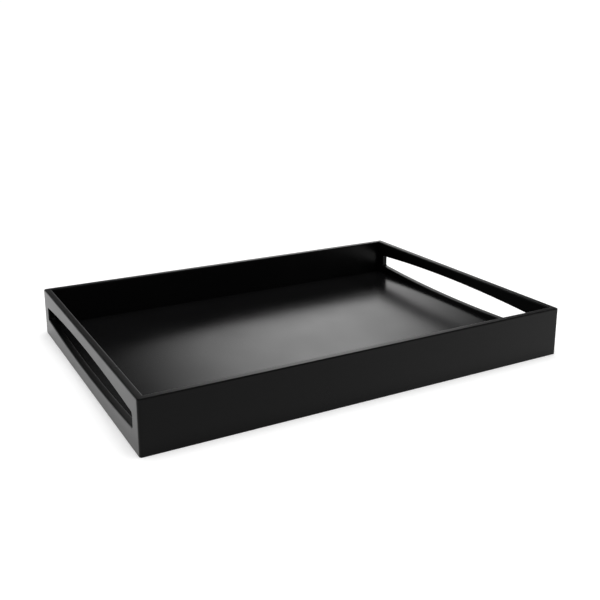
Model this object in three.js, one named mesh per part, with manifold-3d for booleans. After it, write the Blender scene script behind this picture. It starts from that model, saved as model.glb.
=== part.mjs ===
// A serving tray: four lacquered boards round a base panel, with a bowed hand slot in each end board.
// Millimetres, +Z up, X along the tray's length. The origin is the centre of the footprint, on the table.
import * as THREE from "three";
import { mergeVertices } from "three/addons/utils/BufferGeometryUtils.js";
import Module from "manifold-3d";

const wasm = await Module();
wasm.setup();

// Driving dimensions of the frame
const TRAY_LENGTH = 500; // outside, along X
const TRAY_WIDTH = 360; // outside, along Y
const TRAY_HEIGHT = 56; // table to rim
const WALL_THICKNESS = 8;
const EDGE_RADIUS = 1.5; // the edges of the rim and the hand slots are rounded over, the foot's are square
const CORNER_RADIUS = 2 * EDGE_RADIUS; // the four upright outer corners

// Driving dimensions of the base panel, which sits in a groove in all four boards
const BASE_THICKNESS = 5;
const BASE_RECESS = 5.5; // table to the underside of the panel
const GROOVE_DEPTH = 4;
const GROOVE_CLEARANCE = 0.2; // above the panel, which rests on the groove's lower face
const PANEL_EDGE_GAP = 0.5; // room for the panel to swell, at the bottom of the groove

// Driving dimensions of the hand slots
const GRIP_RAIL_HEIGHT = 13.7; // rim to the slot, at the middle of the slot
const SLOT_ABOVE_FLOOR = 5; // tray floor to the slot, at the middle of the slot
const SLOT_END_OPENING = 15; // height of the slot's straight ends
const SLOT_TO_LONG_WALL = 10; // wood left between the slot's end and the long board
const SLOT_CORNER_RADIUS = 2;

// Driving dimensions of the dowels that pin each end board between the long boards
const DOWEL_DIAMETER = 4;
const DOWEL_IN_END_WALL = 14; // length of dowel that lies in the end board
const DOWEL_COVER = 2.5; // wood left between the dowel's tip and the outside of the long board
const DOWEL_CHAMFER = 0.5;
const DOWEL_CLEARANCE = 0.15; // round the dowel and at both of its tips

// Fineness of the round stretches
const EDGE_STEPS = 3;
const CORNER_STEPS = 4;
const SLOT_STEPS = 12;
const DOWEL_SIDES = 16;

// What follows from the driving dimensions
const INNER_LENGTH = TRAY_LENGTH - 2 * WALL_THICKNESS;
const INNER_WIDTH = TRAY_WIDTH - 2 * WALL_THICKNESS;
const FLOOR_HEIGHT = BASE_RECESS + BASE_THICKNESS;
const SLOT_LENGTH = INNER_WIDTH - 2 * SLOT_TO_LONG_WALL;
const SLOT_TOP = TRAY_HEIGHT - GRIP_RAIL_HEIGHT;
const SLOT_BOTTOM = FLOOR_HEIGHT + SLOT_ABOVE_FLOOR;
const SLOT_CENTRE = (SLOT_TOP + SLOT_BOTTOM) / 2;
const SLOT_END_TOP = SLOT_CENTRE + SLOT_END_OPENING / 2;
const SLOT_END_BOTTOM = SLOT_CENTRE - SLOT_END_OPENING / 2;
const CUTTER_SPARE = WALL_THICKNESS; // how far a cutting solid reaches past what it cuts

const LACQUER = new THREE.MeshStandardMaterial({ color: 0x0b0b0c, roughness: 0.42, metalness: 0 });
const BASE_LACQUER = new THREE.MeshStandardMaterial({ color: 0x0d0d0e, roughness: 0.38, metalness: 0 });
const BEECH = new THREE.MeshStandardMaterial({ color: 0xc89f6c, roughness: 0.7, metalness: 0 });

// A closed geometry as a solid that can be cut and joined.
function solidOf(geometry) {
  const bare = geometry.clone();
  bare.deleteAttribute("normal");
  bare.deleteAttribute("uv");
  const merged = mergeVertices(bare);
  return new wasm.Manifold(
    new wasm.Mesh({
      numProp: 3,
      vertProperties: new Float32Array(merged.attributes.position.array),
      triVerts: new Uint32Array(merged.index.array),
    }),
  );
}

function geometryOf(solid) {
  const mesh = solid.getMesh();
  const geometry = new THREE.BufferGeometry();
  geometry.setAttribute("position", new THREE.BufferAttribute(mesh.vertProperties, 3));
  geometry.setIndex(new THREE.BufferAttribute(mesh.triVerts, 1));
  geometry.computeVertexNormals();
  return geometry;
}

// A block between two corners.
function block(low, high) {
  const size = high.clone().sub(low);
  const geometry = new THREE.BoxGeometry(size.x, size.y, size.z);
  geometry.translate((low.x + high.x) / 2, (low.y + high.y) / 2, (low.z + high.z) / 2);
  return solidOf(geometry);
}

function rectangle(path, width, height) {
  path.moveTo(-width / 2, -height / 2);
  path.lineTo(width / 2, -height / 2);
  path.lineTo(width / 2, height / 2);
  path.lineTo(-width / 2, height / 2);
  path.closePath();
  return path;
}

function roundedRectangle(width, height, radius) {
  const x = width / 2 - radius;
  const y = height / 2 - radius;
  const quarter = Math.PI / 2;
  const shape = new THREE.Shape();
  shape.absarc(x, -y, radius, -quarter, 0);
  shape.absarc(x, y, radius, 0, quarter);
  shape.absarc(-x, y, radius, quarter, 2 * quarter);
  shape.absarc(-x, -y, radius, 2 * quarter, 3 * quarter);
  shape.closePath();
  return shape;
}

// A shape extruded to a thickness, with its edges rounded over inside its outline.
function roundedSlab(shape, thickness, radius, curveSteps) {
  const geometry = new THREE.ExtrudeGeometry(shape, {
    depth: thickness - 2 * radius,
    bevelThickness: radius,
    bevelSize: radius,
    bevelOffset: -radius,
    bevelSegments: EDGE_STEPS,
    curveSegments: curveSteps,
  });
  return geometry.translate(0, 0, radius);
}

// The whole frame before it is told apart into boards: grooved for the base panel, its rim rounded over.
function groovedFrame() {
  const plan = roundedRectangle(TRAY_LENGTH, TRAY_WIDTH, CORNER_RADIUS);
  plan.holes.push(rectangle(new THREE.Path(), INNER_LENGTH, INNER_WIDTH));
  const groove = new THREE.Vector3(INNER_LENGTH / 2 + GROOVE_DEPTH, INNER_WIDTH / 2 + GROOVE_DEPTH, 0);
  const grooveBottom = new THREE.Vector3(-groove.x, -groove.y, BASE_RECESS);
  const grooveTop = new THREE.Vector3(groove.x, groove.y, FLOOR_HEIGHT + GROOVE_CLEARANCE);
  const slab = roundedSlab(plan, TRAY_HEIGHT + EDGE_RADIUS, EDGE_RADIUS, CORNER_STEPS);
  const squareFooted = solidOf(slab.translate(0, 0, -EDGE_RADIUS)).trimByPlane([0, 0, 1], 0);
  return squareFooted.subtract(block(grooveBottom, grooveTop));
}

// The hand slot's outline, seen along X: straight upright ends, and bowed edges above and below.
function slotOutline() {
  const end = SLOT_LENGTH / 2;
  const bow = (SLOT_TOP - SLOT_END_TOP) * 2; // a quadratic curve rises half way to its control point
  const r = SLOT_CORNER_RADIUS;
  const path = new THREE.Path();
  path.moveTo(end, SLOT_END_BOTTOM + r);
  path.lineTo(end, SLOT_END_TOP - r);
  path.quadraticCurveTo(end, SLOT_END_TOP, end - r, SLOT_END_TOP);
  path.quadraticCurveTo(0, SLOT_END_TOP + bow, -end + r, SLOT_END_TOP);
  path.quadraticCurveTo(-end, SLOT_END_TOP, -end, SLOT_END_TOP - r);
  path.lineTo(-end, SLOT_END_BOTTOM + r);
  path.quadraticCurveTo(-end, SLOT_END_BOTTOM, -end + r, SLOT_END_BOTTOM);
  path.quadraticCurveTo(0, SLOT_END_BOTTOM - bow, end - r, SLOT_END_BOTTOM);
  path.quadraticCurveTo(end, SLOT_END_BOTTOM, end, SLOT_END_BOTTOM + r);
  return path;
}

// A slotted slab, larger than the end board all round. side is -1 at the tray's left end, 1 at its right.
function slottedSlab(side) {
  const width = INNER_WIDTH / 2 + CUTTER_SPARE;
  const face = new THREE.Shape();
  face.moveTo(-width, -CUTTER_SPARE);
  face.lineTo(width, -CUTTER_SPARE);
  face.lineTo(width, TRAY_HEIGHT + CUTTER_SPARE);
  face.lineTo(-width, TRAY_HEIGHT + CUTTER_SPARE);
  face.closePath();
  face.holes.push(slotOutline());
  const slab = roundedSlab(face, WALL_THICKNESS, EDGE_RADIUS, SLOT_STEPS);
  slab.rotateX(Math.PI / 2);
  slab.rotateZ(Math.PI / 2);
  slab.translate(side > 0 ? TRAY_LENGTH / 2 - WALL_THICKNESS : -TRAY_LENGTH / 2, 0, 0);
  return solidOf(slab);
}

// Where the dowels' middles lie: two in each corner, clear of the groove and of the slot.
function dowelPlaces() {
  const dowelLength = DOWEL_IN_END_WALL + WALL_THICKNESS - DOWEL_COVER;
  const y = TRAY_WIDTH / 2 - DOWEL_COVER - dowelLength / 2;
  const heights = { lower: (FLOOR_HEIGHT + SLOT_END_BOTTOM) / 2, upper: (SLOT_END_TOP + TRAY_HEIGHT) / 2 };
  const places = [];
  for (const [depthName, depthSide] of [["front", -1], ["back", 1]]) {
    for (const [endName, endSide] of [["left", -1], ["right", 1]]) {
      for (const [heightName, z] of Object.entries(heights)) {
        const x = (endSide * (TRAY_LENGTH - WALL_THICKNESS)) / 2;
        const centre = new THREE.Vector3(x, depthSide * y, z);
        places.push({ name: `dowel_${depthName}_${endName}_${heightName}`, centre, length: dowelLength });
      }
    }
  }
  return places;
}

// A round pin along Y with chamfered ends.
function dowelGeometry(length) {
  const radius = DOWEL_DIAMETER / 2;
  const half = length / 2;
  const profile = [
    new THREE.Vector2(0, -half),
    new THREE.Vector2(radius - DOWEL_CHAMFER, -half),
    new THREE.Vector2(radius, -half + DOWEL_CHAMFER),
    new THREE.Vector2(radius, half - DOWEL_CHAMFER),
    new THREE.Vector2(radius - DOWEL_CHAMFER, half),
    new THREE.Vector2(0, half),
  ];
  return new THREE.LatheGeometry(profile, DOWEL_SIDES);
}

// All the dowel holes as one cutting solid.
function dowelBores(places) {
  const radius = DOWEL_DIAMETER / 2 + DOWEL_CLEARANCE;
  const bores = places.map(({ centre, length }) => {
    const bore = new THREE.CylinderGeometry(radius, radius, length + 2 * DOWEL_CLEARANCE, DOWEL_SIDES);
    return solidOf(bore.translate(centre.x, centre.y, centre.z));
  });
  return bores.reduce((all, bore) => all.add(bore));
}

// The part of a frame that lies outside the long boards' inner face. side is -1 at the front, 1 at the back.
function longWall(frame, side) {
  const reachX = TRAY_LENGTH / 2 + CUTTER_SPARE;
  const inner = (side * INNER_WIDTH) / 2;
  const outer = side * (TRAY_WIDTH / 2 + CUTTER_SPARE);
  const low = new THREE.Vector3(-reachX, Math.min(inner, outer), -CUTTER_SPARE);
  const high = new THREE.Vector3(reachX, Math.max(inner, outer), TRAY_HEIGHT + CUTTER_SPARE);
  return frame.intersect(block(low, high));
}

// The part of a frame that lies between the long boards at one end, with its hand slot.
function endWall(frame, side) {
  const inner = (side * (INNER_LENGTH - CUTTER_SPARE)) / 2;
  const outer = side * (TRAY_LENGTH / 2 + CUTTER_SPARE);
  const low = new THREE.Vector3(Math.min(inner, outer), -INNER_WIDTH / 2, -CUTTER_SPARE);
  const high = new THREE.Vector3(Math.max(inner, outer), INNER_WIDTH / 2, TRAY_HEIGHT + CUTTER_SPARE);
  return frame.intersect(block(low, high)).intersect(slottedSlab(side));
}

function basePanelGeometry() {
  const reach = 2 * (GROOVE_DEPTH - PANEL_EDGE_GAP);
  const panel = new THREE.BoxGeometry(INNER_LENGTH + reach, INNER_WIDTH + reach, BASE_THICKNESS);
  return panel.translate(0, 0, BASE_RECESS + BASE_THICKNESS / 2);
}

function addMesh(group, name, geometry, material) {
  const mesh = new THREE.Mesh(geometry, material);
  mesh.name = name;
  group.add(mesh);
  return mesh;
}

const tray = new THREE.Group();
const places = dowelPlaces();
const frame = groovedFrame().subtract(dowelBores(places));

addMesh(tray, "front_wall", geometryOf(longWall(frame, -1)), LACQUER);
addMesh(tray, "back_wall", geometryOf(longWall(frame, 1)), LACQUER);
addMesh(tray, "left_end_wall", geometryOf(endWall(frame, -1)), LACQUER);
addMesh(tray, "right_end_wall", geometryOf(endWall(frame, 1)), LACQUER);
addMesh(tray, "base_panel", basePanelGeometry(), BASE_LACQUER);
for (const { name, centre, length } of places) {
  addMesh(tray, name, dowelGeometry(length), BEECH).position.copy(centre);
}

export default tray;
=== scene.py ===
import math

import bmesh
import bpy
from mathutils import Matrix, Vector


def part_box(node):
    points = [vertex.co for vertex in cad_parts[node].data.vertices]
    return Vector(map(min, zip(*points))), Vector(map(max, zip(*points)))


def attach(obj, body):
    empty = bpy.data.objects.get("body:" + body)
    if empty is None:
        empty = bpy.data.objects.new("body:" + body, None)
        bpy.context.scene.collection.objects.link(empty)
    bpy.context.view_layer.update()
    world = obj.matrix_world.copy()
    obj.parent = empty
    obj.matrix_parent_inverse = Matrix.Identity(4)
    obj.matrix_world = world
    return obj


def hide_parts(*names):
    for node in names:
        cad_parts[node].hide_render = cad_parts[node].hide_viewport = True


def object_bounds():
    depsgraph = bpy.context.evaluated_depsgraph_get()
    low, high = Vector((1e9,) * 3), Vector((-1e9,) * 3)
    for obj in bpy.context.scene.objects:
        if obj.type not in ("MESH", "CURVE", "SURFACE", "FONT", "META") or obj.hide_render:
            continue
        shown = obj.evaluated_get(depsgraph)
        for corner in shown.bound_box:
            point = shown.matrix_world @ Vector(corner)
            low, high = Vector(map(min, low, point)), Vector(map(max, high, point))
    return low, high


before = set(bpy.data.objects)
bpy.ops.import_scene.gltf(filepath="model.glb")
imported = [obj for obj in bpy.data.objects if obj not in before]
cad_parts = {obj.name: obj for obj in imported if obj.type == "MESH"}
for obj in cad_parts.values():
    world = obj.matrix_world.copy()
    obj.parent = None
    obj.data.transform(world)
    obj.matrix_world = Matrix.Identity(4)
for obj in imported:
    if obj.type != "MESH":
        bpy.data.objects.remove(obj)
CAD_LOW, CAD_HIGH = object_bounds()
MM = 0.001

# Sizes that the frame gives
LENGTH, WIDTH, HEIGHT = CAD_HIGH - CAD_LOW
FRONT_LOW, FRONT_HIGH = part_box("front_wall")
BASE_LOW, BASE_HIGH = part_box("base_panel")
WALL = FRONT_HIGH.y - FRONT_LOW.y
INNER_LENGTH = LENGTH - 2 * WALL
INNER_WIDTH = WIDTH - 2 * WALL
FLOOR = BASE_HIGH.z

# Sizes that the frame's boxes don't show
EDGE_RADIUS = 1.5 * MM
FOOT_RADIUS = 0.5 * EDGE_RADIUS
CORNER_RADIUS = 2.0 * EDGE_RADIUS
GROOVE_GAP = 0.2 * MM
BASE_EDGE_GAP = 0.5 * MM
BASE_EDGE_RADIUS = 0.4 * MM
GRIP_RAIL = 13.7 * MM
SLOT_END_OPENING = 15.0 * MM
SLOT_ABOVE_FLOOR = 5.0 * MM
SLOT_TO_LONG_WALL = 10.0 * MM
SLOT_CORNER = 2.0 * MM

# What follows from both, the groove's back as a depth from the tray's outside
GROOVE_TOP = FLOOR + GROOVE_GAP
GROOVE_LOW = BASE_LOW.z
GROOVE_BACK = WALL - (BASE_HIGH.x - INNER_LENGTH / 2) - BASE_EDGE_GAP
SLOT_REACH = INNER_WIDTH / 2 - SLOT_TO_LONG_WALL - SLOT_CORNER
SLOT_MIDDLE_OPENING = HEIGHT - GRIP_RAIL - FLOOR - SLOT_ABOVE_FLOOR
SLOT_CENTRE = FLOOR + SLOT_ABOVE_FLOOR + SLOT_MIDDLE_OPENING / 2
SLOT_BOW = (SLOT_MIDDLE_OPENING - SLOT_END_OPENING) / 2

# Fineness of the meshes
EDGE_STEPS = 6
CORNER_STEPS = 8
HALF_CORNER_STEPS = CORNER_STEPS // 2
SLOT_STEPS = 32
TABLE_STEPS = 96
MERGE_DISTANCE = 0.001 * MM
SHARP_ANGLE = math.radians(35)
FLAT_FACE_WEIGHT = 100

# The photograph's viewpoint, fitted to the tray's edges
CAMERA_PLACE = Vector((-447.5, -826.2, 367.5)) * MM
CAMERA_AZIMUTH = math.radians(-29.02)
CAMERA_ELEVATION = math.radians(14.34)
CAMERA_LENS = 49.9
CAMERA_SENSOR = 36.0
CAMERA_SHIFT = -0.10

# Lacquer, with a broad mottle of shade and gloss and a fine ripple, both scaled per metre
LACQUER_FACE_ON_GLOSS = 0.25
LACQUER_BLUE_CAST = 1.05
MOTTLE_SCALE = 14.0
MOTTLE_DETAIL = 3.0
MOTTLE_RANGE = 0.3, 0.7
MOTTLE_SHADE_SPREAD = 0.25
MOTTLE_GLOSS_SPREAD = 0.02
RIPPLE_SCALE = 320.0
RIPPLE_DETAIL = 2.0
RIPPLE_STRENGTH = 0.2

# Beech, with its grain drawn out along the dowels
BEECH_DARK = 0.45, 0.26, 0.12, 1
BEECH_LIGHT = 0.66, 0.43, 0.22, 1
BEECH_ROUGHNESS = 0.65
GRAIN_SCALE = 1500.0
GRAIN_DETAIL = 4.0
GRAIN_ALONG_DOWEL = 0.12
GRAIN_STRENGTH = 0.3
GRAIN_DEPTH = 0.05 * MM

# Table, its white partly lit and partly its own
TABLE_REACH = 6.0
TABLE_ALBEDO = 0.80
TABLE_GLOW = 0.28

# Studio light, each edge as the angle where it has faded out and the angle where it is full
SOFTBOX_HEADING = math.pi / 2 + CAMERA_AZIMUTH
SOFTBOX_LEFT_EDGE = math.radians(11.7), math.radians(3.8)
SOFTBOX_MIDDLE_EDGE = math.radians(5.9), math.radians(-3.6)
SOFTBOX_MIDDLE_SHARE = 0.38
SOFTBOX_RIGHT_EDGE = math.radians(-14.5), math.radians(-3.5)
SOFTBOX_LOW_EDGE = math.radians(8), math.radians(23)
SOFTBOX_HIGH_EDGE = math.radians(48), math.radians(28)
SOFTBOX_LEAN = 0.5
SOFTBOX_LEAN_HEIGHT = math.radians(24)
SOFTBOX_BRIGHT = 2.87
SURROUND_EDGE = math.radians(26), math.radians(58)
SURROUND_SHARE = 0.32
CEILING_EDGE = math.radians(62), math.radians(76)
CEILING_BRIGHT = 2.0
ROOM_BRIGHT = 0.025
HORIZON_EDGE = math.radians(11), math.radians(4.5)
LAMP_STRENGTH = 1.9
LAMP_ANGLE = math.radians(55)
LAMP_FROM_RIGHT = math.radians(3)


# Shapes

def arc(centre, radius, start, end, steps):
    """Points along an arc, both ends included. Angles are in degrees, anticlockwise."""
    x, y = centre
    angles = [math.radians(start + (end - start) * k / steps) for k in range(steps + 1)]
    return [(x + radius * math.cos(angle), y + radius * math.sin(angle)) for angle in angles]


def rim_profile():
    """A board's section over its rim, from outer to inner face, as (depth from the outside, height)."""
    radius = EDGE_RADIUS
    outer = arc((radius, HEIGHT - radius), radius, 180, 90, EDGE_STEPS)
    inner = arc((WALL - radius, HEIGHT - radius), radius, 90, 0, EDGE_STEPS)
    return outer + inner


def foot_profile():
    """A board's section from the groove's upper lip, round the groove and the foot, to the outer face."""
    radius = FOOT_RADIUS
    groove = [(WALL, GROOVE_TOP), (GROOVE_BACK, GROOVE_TOP), (GROOVE_BACK, GROOVE_LOW), (WALL, GROOVE_LOW)]
    inner = arc((WALL - radius, radius), radius, 0, -90, EDGE_STEPS)
    outer = arc((radius, radius), radius, -90, -180, EDGE_STEPS)
    return groove + inner + outer


def add_grid(mesh, rows):
    """Quads between rows of points, each row as long as the next."""
    grid = [[mesh.verts.new(point) for point in row] for row in rows]
    for low, high in zip(grid, grid[1:]):
        for k in range(len(low) - 1):
            mesh.faces.new((low[k], low[k + 1], high[k + 1], high[k]))


def add_object(name, data):
    """A new object in the scene."""
    made = bpy.data.objects.new(name, data)
    bpy.context.scene.collection.objects.link(made)
    return made


def add_mesh_object(name, mesh, material):
    """A new object from a finished mesh, in one material."""
    data = bpy.data.meshes.new(name)
    mesh.to_mesh(data)
    mesh.free()
    data.materials.append(material)
    return add_object(name, data)


def make_piece(mesh, name, material):
    """Closes a mesh, turns it outwards and makes it an object with true normals on its flats and rounds."""
    bmesh.ops.remove_doubles(mesh, verts=mesh.verts, dist=MERGE_DISTANCE)
    bmesh.ops.dissolve_degenerate(mesh, edges=mesh.edges, dist=MERGE_DISTANCE)
    open_edges = [edge for edge in mesh.edges if edge.is_boundary]
    bmesh.ops.holes_fill(mesh, edges=open_edges, sides=0)
    bmesh.ops.recalc_face_normals(mesh, faces=mesh.faces)
    for face in mesh.faces:
        face.smooth = True
    for edge in mesh.edges:
        edge.smooth = edge.calc_face_angle(0) < SHARP_ANGLE
    piece = add_mesh_object(name, mesh, material)
    normals = piece.modifiers.new("flat_faces_lead", "WEIGHTED_NORMAL")
    normals.keep_sharp = True
    normals.weight = FLAT_FACE_WEIGHT
    return piece


def long_wall_path(depth, side):
    """The way round a long board at a depth from the tray's outside, from one end board to the other."""
    inset = max(CORNER_RADIUS, depth)
    centre = (LENGTH / 2 - inset, WIDTH / 2 - inset)
    corner = arc(centre, max(CORNER_RADIUS - depth, 0), 0, 90, CORNER_STEPS)
    right = [(LENGTH / 2 - depth, INNER_WIDTH / 2)] + corner
    left = [(-x, y) for x, y in reversed(right)]
    return [(x, side * y) for x, y in right + left]


def make_long_wall(name, side, material):
    """A long board with its corners, side -1 at the front and 1 at the back."""
    profile = rim_profile() + foot_profile()
    rows = []
    for depth, height in profile + profile[:1]:
        rows.append([(x, y, height) for x, y in long_wall_path(depth, side)])
    mesh = bmesh.new()
    add_grid(mesh, rows)
    return make_piece(mesh, name, material)


def slot_quarter(offset):
    """The slot's edge from its top middle to its right end, grown by an offset.

    Each point is (y, height over the slot's centre).
    """
    points = []
    for k in range(SLOT_STEPS + 1):
        y = SLOT_REACH * k / SLOT_STEPS
        slope = -2 * SLOT_BOW * y / SLOT_REACH ** 2
        lean = math.hypot(1, slope)
        rise = SLOT_END_OPENING / 2 + SLOT_BOW * (1 - (y / SLOT_REACH) ** 2)
        points.append((y - offset * slope / lean, rise + offset / lean))
    centre = (SLOT_REACH, SLOT_END_OPENING / 2 - SLOT_CORNER)
    corner = arc(centre, SLOT_CORNER + offset, 90, 0, CORNER_STEPS)
    return points + corner[1:]


def face_stations():
    """Where half of the end board's face is divided along its rim, in step with the slot's quarter."""
    past_slot = INNER_WIDTH / 2 - SLOT_REACH
    along = [SLOT_REACH * k / SLOT_STEPS for k in range(SLOT_STEPS + 1)]
    beyond = [SLOT_REACH + past_slot * k / HALF_CORNER_STEPS for k in range(1, HALF_CORNER_STEPS + 1)]
    return along + beyond


def face_quarter(rise):
    """A quarter of the end board's outline, in step with the slot's: along the top, then down the side."""
    side_end = SLOT_END_OPENING / 2 - SLOT_CORNER
    top = [(y, rise) for y in face_stations()]
    heights = [rise + (side_end - rise) * k / HALF_CORNER_STEPS for k in range(1, HALF_CORNER_STEPS + 1)]
    return top + [(INNER_WIDTH / 2, height) for height in heights]


def whole_loop(upper, lower):
    """A closed loop from its upper right quarter and its lower right one, given mirrored upwards."""
    right = upper + [(y, -rise) for y, rise in reversed(lower)]
    left = [(-y, rise) for y, rise in reversed(right)]
    return right + left


def make_end_wall(name, side, material):
    """An end board with its hand slot, side -1 at the left and 1 at the right."""
    radius = EDGE_RADIUS
    upper = face_quarter(HEIGHT - radius - SLOT_CENTRE)
    lower_outside = face_quarter(SLOT_CENTRE - FOOT_RADIUS)
    lower_inside = face_quarter(SLOT_CENTRE - GROOVE_TOP)

    def placed(loop, depth):
        """A loop round the slot's centre, put at a depth from the tray's outside."""
        return [(side * (LENGTH / 2 - depth), y, SLOT_CENTRE + rise) for y, rise in loop]

    def slot_ring(offset, depth):
        """The slot's whole edge, grown by an offset."""
        quarter = slot_quarter(offset)
        return placed(whole_loop(quarter, quarter), depth)

    roundover = arc((radius, radius), radius, 180, 270, EDGE_STEPS)
    rows = [placed(whole_loop(upper, lower_outside), 0)]
    rows += [slot_ring(offset, depth) for depth, offset in roundover]
    rows += [slot_ring(offset, WALL - depth) for depth, offset in reversed(roundover)]
    rows += [placed(whole_loop(upper, lower_inside), WALL)]
    mesh = bmesh.new()
    add_grid(mesh, rows)

    half = face_stations()
    stations = [-y for y in reversed(half)] + half
    for profile in (rim_profile(), foot_profile()):
        add_grid(mesh, [[(side * (LENGTH / 2 - depth), y, z) for y in stations] for depth, z in profile])
    return make_piece(mesh, name, material)


def make_base_panel(name, material):
    """The floor of the tray, a flat panel with eased edges that reaches into the grooves."""
    radius = BASE_EDGE_RADIUS
    lower = arc((radius, BASE_LOW.z + radius), radius, 270, 180, EDGE_STEPS)
    upper = arc((radius, BASE_HIGH.z - radius), radius, 180, 90, EDGE_STEPS)
    rows = []
    for inset, z in lower + upper:
        x, y = BASE_HIGH.x - inset, BASE_HIGH.y - inset
        rows.append([(x, y, z), (-x, y, z), (-x, -y, z), (x, -y, z), (x, y, z)])
    mesh = bmesh.new()
    add_grid(mesh, rows)
    return make_piece(mesh, name, material)


# Materials

class Nodes:
    """A node tree, emptied, with short calls for adding and wiring nodes."""

    def __init__(self, tree):
        self.tree = tree
        self.tree.nodes.clear()

    def add(self, kind, inputs=None, **settings):
        """A new node with its settings, and its inputs set or wired by name or number."""
        node = self.tree.nodes.new(kind)
        for name, value in settings.items():
            setattr(node, name, value)
        for name, value in (inputs or {}).items():
            self.set(node.inputs[name], value)
        return node

    def set(self, socket, value):
        """Wires another node's output to an input, or sets the input to a plain value."""
        if isinstance(value, bpy.types.NodeSocket):
            self.tree.links.new(value, socket)
        else:
            socket.default_value = value

    def math(self, operation, *values):
        """The result of a sum on outputs and numbers."""
        inputs = dict(enumerate(values))
        return self.add("ShaderNodeMath", inputs, operation=operation).outputs[0]

    def noise(self, place, scale, detail):
        """A noise over places in the object, about 0 to 1."""
        node = self.add("ShaderNodeTexNoise", {"Vector": place, "Scale": scale, "Detail": detail})
        return node.outputs["Fac"]

    def bump(self, height, strength, distance):
        """The normals of a surface that is raised by a height times a distance."""
        node = self.add("ShaderNodeBump", {"Height": height, "Strength": strength, "Distance": distance})
        return node.outputs["Normal"]


def new_material(name):
    """A material with an empty node tree, and the calls that fill it."""
    material = bpy.data.materials.new(name)
    material.use_nodes = True
    return material, Nodes(material.node_tree)


def make_lacquer(name, roughness, shade, ior, ripple):
    """Satin black lacquer: its shade and gloss vary a little, and a faint ripple runs over it."""
    material, nodes = new_material(name)
    place = nodes.add("ShaderNodeTexCoord").outputs["Object"]
    mottle = nodes.noise(place, MOTTLE_SCALE, MOTTLE_DETAIL)
    tone = nodes.add("ShaderNodeValToRGB", {"Fac": mottle})
    levels = (1 - MOTTLE_SHADE_SPREAD) * shade, (1 + MOTTLE_SHADE_SPREAD) * shade
    for element, level in zip(tone.color_ramp.elements, levels):
        element.color = (level, level, LACQUER_BLUE_CAST * level, 1)
    mottle_low, mottle_high = MOTTLE_RANGE
    gloss = nodes.add("ShaderNodeMapRange", {
        "Value": mottle,
        "From Min": mottle_low,
        "From Max": mottle_high,
        "To Min": roughness - MOTTLE_GLOSS_SPREAD,
        "To Max": roughness + MOTTLE_GLOSS_SPREAD,
    })
    dulled = LACQUER_FACE_ON_GLOSS
    shader = nodes.add("ShaderNodeBsdfPrincipled", {
        "Base Color": tone.outputs["Color"],
        "Roughness": gloss.outputs["Result"],
        "Normal": nodes.bump(nodes.noise(place, RIPPLE_SCALE, RIPPLE_DETAIL), RIPPLE_STRENGTH, ripple),
        "IOR": ior,
        "Specular Tint": (dulled, dulled, dulled, 1),
    })
    nodes.add("ShaderNodeOutputMaterial", {"Surface": shader.outputs["BSDF"]})
    return material


def make_beech():
    """Bare beech for the dowels, which lie along y."""
    material, nodes = new_material("bare_beech")
    place = nodes.add("ShaderNodeTexCoord").outputs["Object"]
    along = nodes.add("ShaderNodeMapping", {"Vector": place, "Scale": (1.0, GRAIN_ALONG_DOWEL, 1.0)})
    grain = nodes.noise(along.outputs["Vector"], GRAIN_SCALE, GRAIN_DETAIL)
    tone = nodes.add("ShaderNodeValToRGB", {"Fac": grain})
    for element, colour in zip(tone.color_ramp.elements, (BEECH_DARK, BEECH_LIGHT)):
        element.color = colour
    shader = nodes.add("ShaderNodeBsdfPrincipled", {
        "Base Color": tone.outputs["Color"],
        "Roughness": BEECH_ROUGHNESS,
        "Normal": nodes.bump(grain, GRAIN_STRENGTH, GRAIN_DEPTH),
    })
    nodes.add("ShaderNodeOutputMaterial", {"Surface": shader.outputs["BSDF"]})
    return material


# Stage

def shown_to_eye(nodes):
    """1 for rays that show the background: straight from the camera, mirrored or through glass."""
    light = nodes.add("ShaderNodeLightPath")
    seen = nodes.math("MAXIMUM", light.outputs["Is Camera Ray"], light.outputs["Is Glossy Ray"])
    return nodes.math("MAXIMUM", seen, light.outputs["Is Transmission Ray"])


def make_table():
    """A plain white table. Part of its white is lit and takes the tray's shadow, the rest is its own."""
    material, nodes = new_material("white_table")
    lit = nodes.add("ShaderNodeBsdfDiffuse", {"Color": (TABLE_ALBEDO, TABLE_ALBEDO, TABLE_ALBEDO, 1)})
    glow = nodes.math("MULTIPLY", shown_to_eye(nodes), TABLE_GLOW)
    own = nodes.add("ShaderNodeEmission", {"Strength": glow})
    both = nodes.add("ShaderNodeAddShader", {0: lit.outputs[0], 1: own.outputs[0]})
    nodes.add("ShaderNodeOutputMaterial", {"Surface": both.outputs[0]})

    mesh = bmesh.new()
    bmesh.ops.create_circle(mesh, cap_ends=True, radius=TABLE_REACH, segments=TABLE_STEPS)
    floor = add_mesh_object("table", mesh, material)
    floor.location.z = CAD_LOW.z


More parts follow.
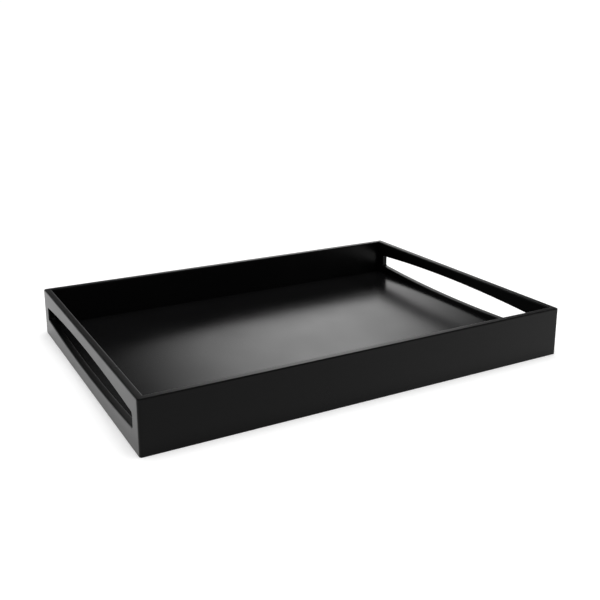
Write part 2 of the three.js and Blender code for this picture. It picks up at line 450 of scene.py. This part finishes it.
def make_world():
    """A dark room with a white horizon, a softbox behind the tray, a dimmer surround and a soft ceiling."""
    world = bpy.data.worlds.new("studio")
    bpy.context.scene.world = world
    world.use_nodes = True
    nodes = Nodes(world.node_tree)
    direction = nodes.add("ShaderNodeTexCoord").outputs["Generated"]
    parts = nodes.add("ShaderNodeSeparateXYZ", {"Vector": direction})
    height = nodes.math("ARCSINE", parts.outputs["Z"])
    heading = nodes.math("ARCTAN2", parts.outputs["Y"], parts.outputs["X"])
    across = nodes.math("WRAP", nodes.math("SUBTRACT", heading, SOFTBOX_HEADING), math.pi, -math.pi)

    def edge(value, faded_and_full):
        """0 at the first angle, 1 at the second, and a soft change between them."""
        faded, full = faded_and_full
        return nodes.add("ShaderNodeMapRange", {
            "Value": value, "From Min": faded, "From Max": full, "To Min": 0.0, "To Max": 1.0,
        }, interpolation_type="SMOOTHSTEP").outputs["Result"]

    above = nodes.math("SUBTRACT", height, SOFTBOX_LEAN_HEIGHT)
    leaning = nodes.math("MULTIPLY_ADD", above, SOFTBOX_LEAN, across)
    middle = nodes.math("MULTIPLY", edge(leaning, SOFTBOX_MIDDLE_EDGE), SOFTBOX_MIDDLE_SHARE)
    band = nodes.math("MULTIPLY_ADD", edge(leaning, SOFTBOX_LEFT_EDGE), 1 - SOFTBOX_MIDDLE_SHARE, middle)
    band = nodes.math("MULTIPLY", band, edge(across, SOFTBOX_RIGHT_EDGE))
    beside = edge(nodes.math("ABSOLUTE", across), SURROUND_EDGE)
    band = nodes.math("MULTIPLY_ADD", beside, SURROUND_SHARE, band)
    band = nodes.math("MULTIPLY", band, edge(height, SOFTBOX_LOW_EDGE))
    band = nodes.math("MULTIPLY", band, edge(height, SOFTBOX_HIGH_EDGE))
    lit = nodes.math("MULTIPLY_ADD", band, SOFTBOX_BRIGHT, ROOM_BRIGHT)
    lit = nodes.math("MULTIPLY_ADD", edge(height, CEILING_EDGE), CEILING_BRIGHT, lit)
    total = nodes.math("ADD", lit, edge(height, HORIZON_EDGE))
    sky = nodes.add("ShaderNodeBackground", {"Color": (1, 1, 1, 1), "Strength": total})
    nodes.add("ShaderNodeOutputWorld", {"Surface": sky.outputs[0]})


def make_key_light():
    """A wide soft lamp overhead, which lights the table and draws the tray's soft shadow.

    Reflections don't show the lamp itself: the world's ceiling stands in for it there.
    """
    data = bpy.data.lights.new("overhead", "SUN")
    data.angle = LAMP_ANGLE
    data.energy = LAMP_STRENGTH
    lamp = add_object("overhead", data)
    lamp.rotation_euler = (0, LAMP_FROM_RIGHT, 0)
    lamp.visible_glossy = False


def make_camera():
    """The camera at the photograph's viewpoint."""
    data = bpy.data.cameras.new("camera")
    data.sensor_width = CAMERA_SENSOR
    data.lens = CAMERA_LENS
    data.shift_y = CAMERA_SHIFT
    camera = add_object("camera", data)
    camera.location = CAMERA_PLACE
    camera.rotation_euler = (math.pi / 2 - CAMERA_ELEVATION, 0, CAMERA_AZIMUTH)
    bpy.context.scene.camera = camera


# Putting it together

frame_lacquer = make_lacquer("satin_black_frame", roughness=0.29, shade=0.0012, ior=1.40, ripple=0.15 * MM)
base_lacquer = make_lacquer("satin_black_base", roughness=0.22, shade=0.0032, ior=1.43, ripple=0.03 * MM)
beech = make_beech()

pieces = {
    "front_wall": make_long_wall("front_board", -1, frame_lacquer),
    "back_wall": make_long_wall("back_board", 1, frame_lacquer),
    "left_end_wall": make_end_wall("left_end_board", -1, frame_lacquer),
    "right_end_wall": make_end_wall("right_end_board", 1, frame_lacquer),
    "base_panel": make_base_panel("floor_panel", base_lacquer),
}
for node, piece in pieces.items():
    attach(piece, "root")
    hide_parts(node)

for node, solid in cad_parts.items():
    if node.startswith("dowel"):
        solid.data.materials.clear()
        solid.data.materials.append(beech)

make_table()
make_world()
make_key_light()
make_camera()
bpy.context.scene.view_settings.view_transform = "Standard"
